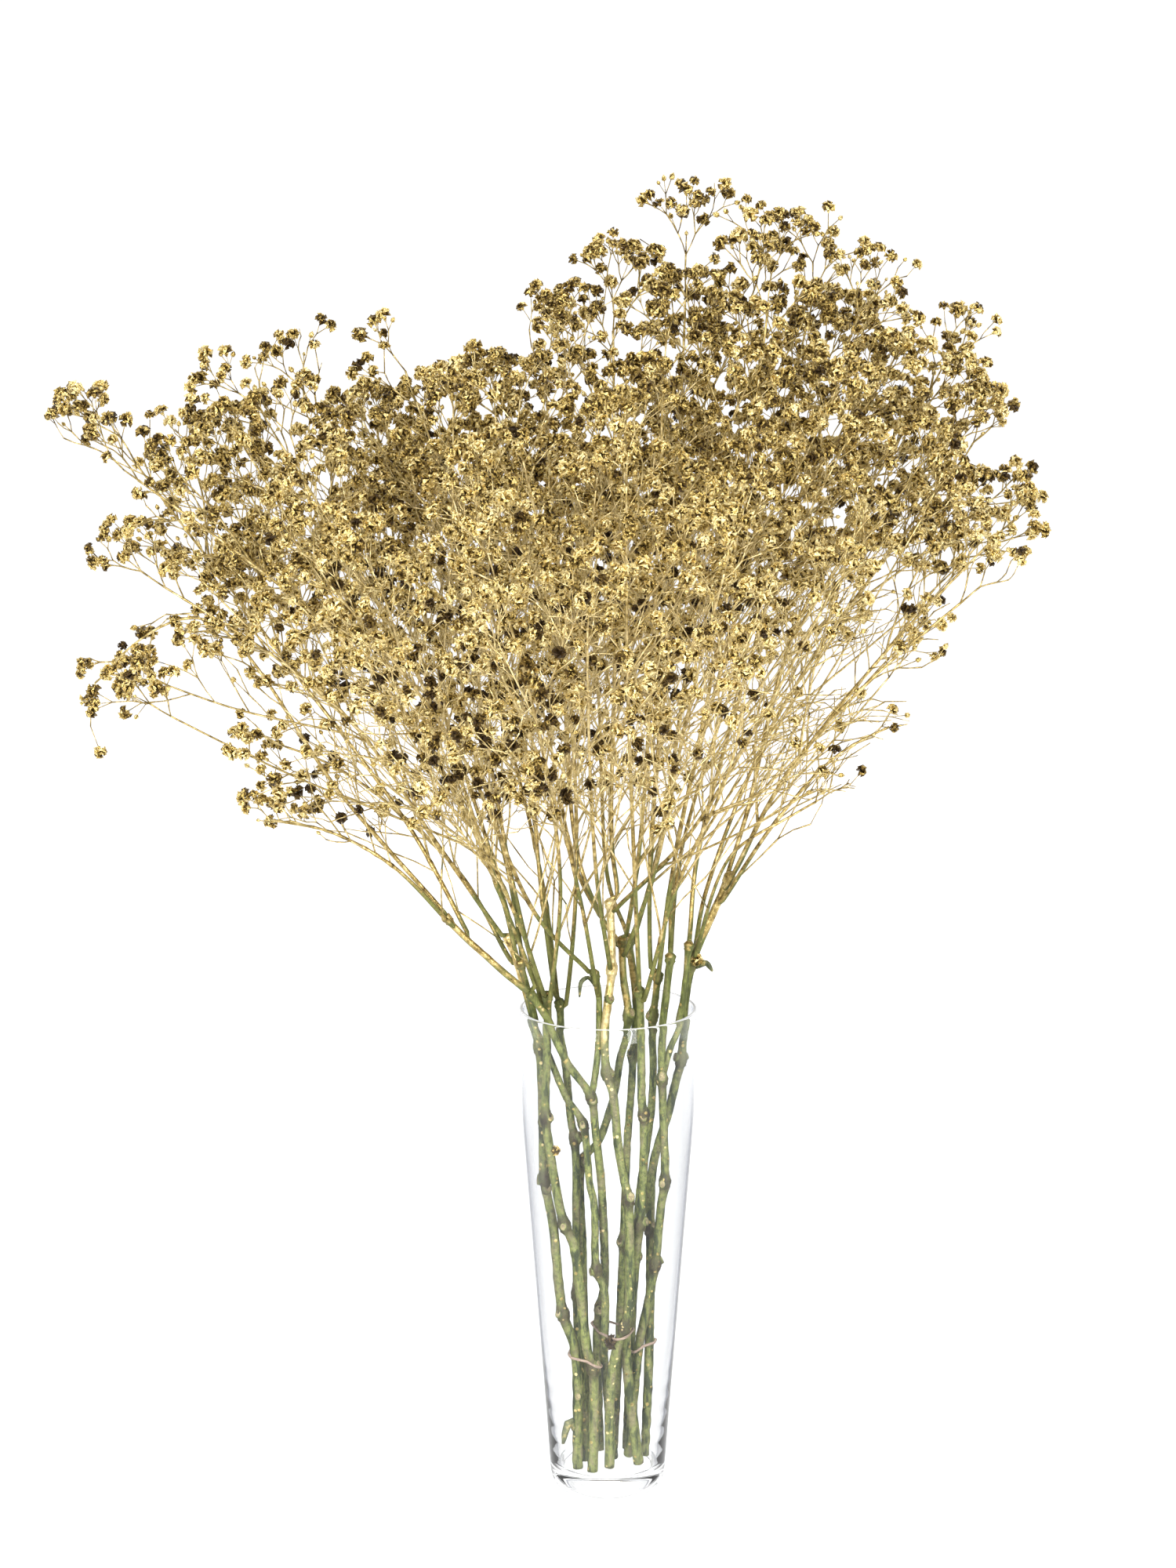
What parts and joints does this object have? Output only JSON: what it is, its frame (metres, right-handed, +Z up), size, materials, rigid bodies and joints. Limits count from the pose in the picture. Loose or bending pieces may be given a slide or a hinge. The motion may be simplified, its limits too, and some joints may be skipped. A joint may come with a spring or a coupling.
{
  "type": "gypsophila bunch in a glass vase",
  "caption": "Bunch of gold-sprayed gypsophila, its forking flowering sprays on green noded canes held by thin bands in a tapered clear glass vase.",
  "frame": {"origin": "centre of the vase's foot, on the surface that it stands on", "axes": "+Z up the vase, -Y towards the viewer's side, +X to the viewer's right"},
  "size_m": [0.586, 0.422, 0.7995],
  "materials": {
    "clear_glass": "clear polished soda glass with a thick solid base",
    "green_cane": "matt grey-green bark, speckled with gold spray and turning gold above the vase",
    "gold_spray": "gold metallic spray paint on dried twigs and crumpled double florets",
    "rubber_band": "dull brown-pink rubber",
    "dried_leaf": "dull dried leaf with touches of gold"
  },
  "bodies": {
    "root": {"vase": "clear_glass", "stem_01": "green_cane", "stem_02": "green_cane", "stem_03": "green_cane", "stem_04": "green_cane", "stem_05": "green_cane", "stem_06": "green_cane", "stem_07": "green_cane", "stem_08": "green_cane", "stem_09": "green_cane", "stem_10": "green_cane", "stem_11": "green_cane", "stem_12": "green_cane", "band_left": "rubber_band", "band_middle": "rubber_band", "band_right": "rubber_band", "leaf_curled": "dried_leaf", "bract_right": "dried_leaf", "leaf_low_left": "dried_leaf", "spray_01_a": "gold_spray", "spray_01_b": "gold_spray", "spray_01_c": "gold_spray", "spray_02_a": "gold_spray", "spray_02_b": "gold_spray", "spray_02_c": "gold_spray", "spray_03_a": "gold_spray", "spray_03_b": "gold_spray", "spray_03_c": "gold_spray", "spray_03_d": "gold_spray", "spray_03_e": "gold_spray", "spray_03_f": "gold_spray", "spray_04_a": "gold_spray", "spray_04_b": "gold_spray", "spray_05_a": "gold_spray", "spray_05_b": "gold_spray", "spray_05_c": "gold_spray", "spray_06_a": "gold_spray", "spray_06_b": "gold_spray", "spray_06_c": "gold_spray", "spray_07_a": "gold_spray", "spray_07_b": "gold_spray", "spray_07_c": "gold_spray", "spray_08_a": "gold_spray", "spray_08_b": "gold_spray", "spray_08_c": "gold_spray", "spray_09_a": "gold_spray", "spray_09_b": "gold_spray", "spray_10_a": "gold_spray", "spray_10_b": "gold_spray", "spray_11_a": "gold_spray", "spray_11_b": "gold_spray", "spray_11_c": "gold_spray", "spray_12_a": "gold_spray", "spray_12_b": "gold_spray", "spray_12_c": "gold_spray", "spray_12_d": "gold_spray", "spray_12_e": "gold_spray", "spray_12_f": "gold_spray"}
  },
  "joints": []
}
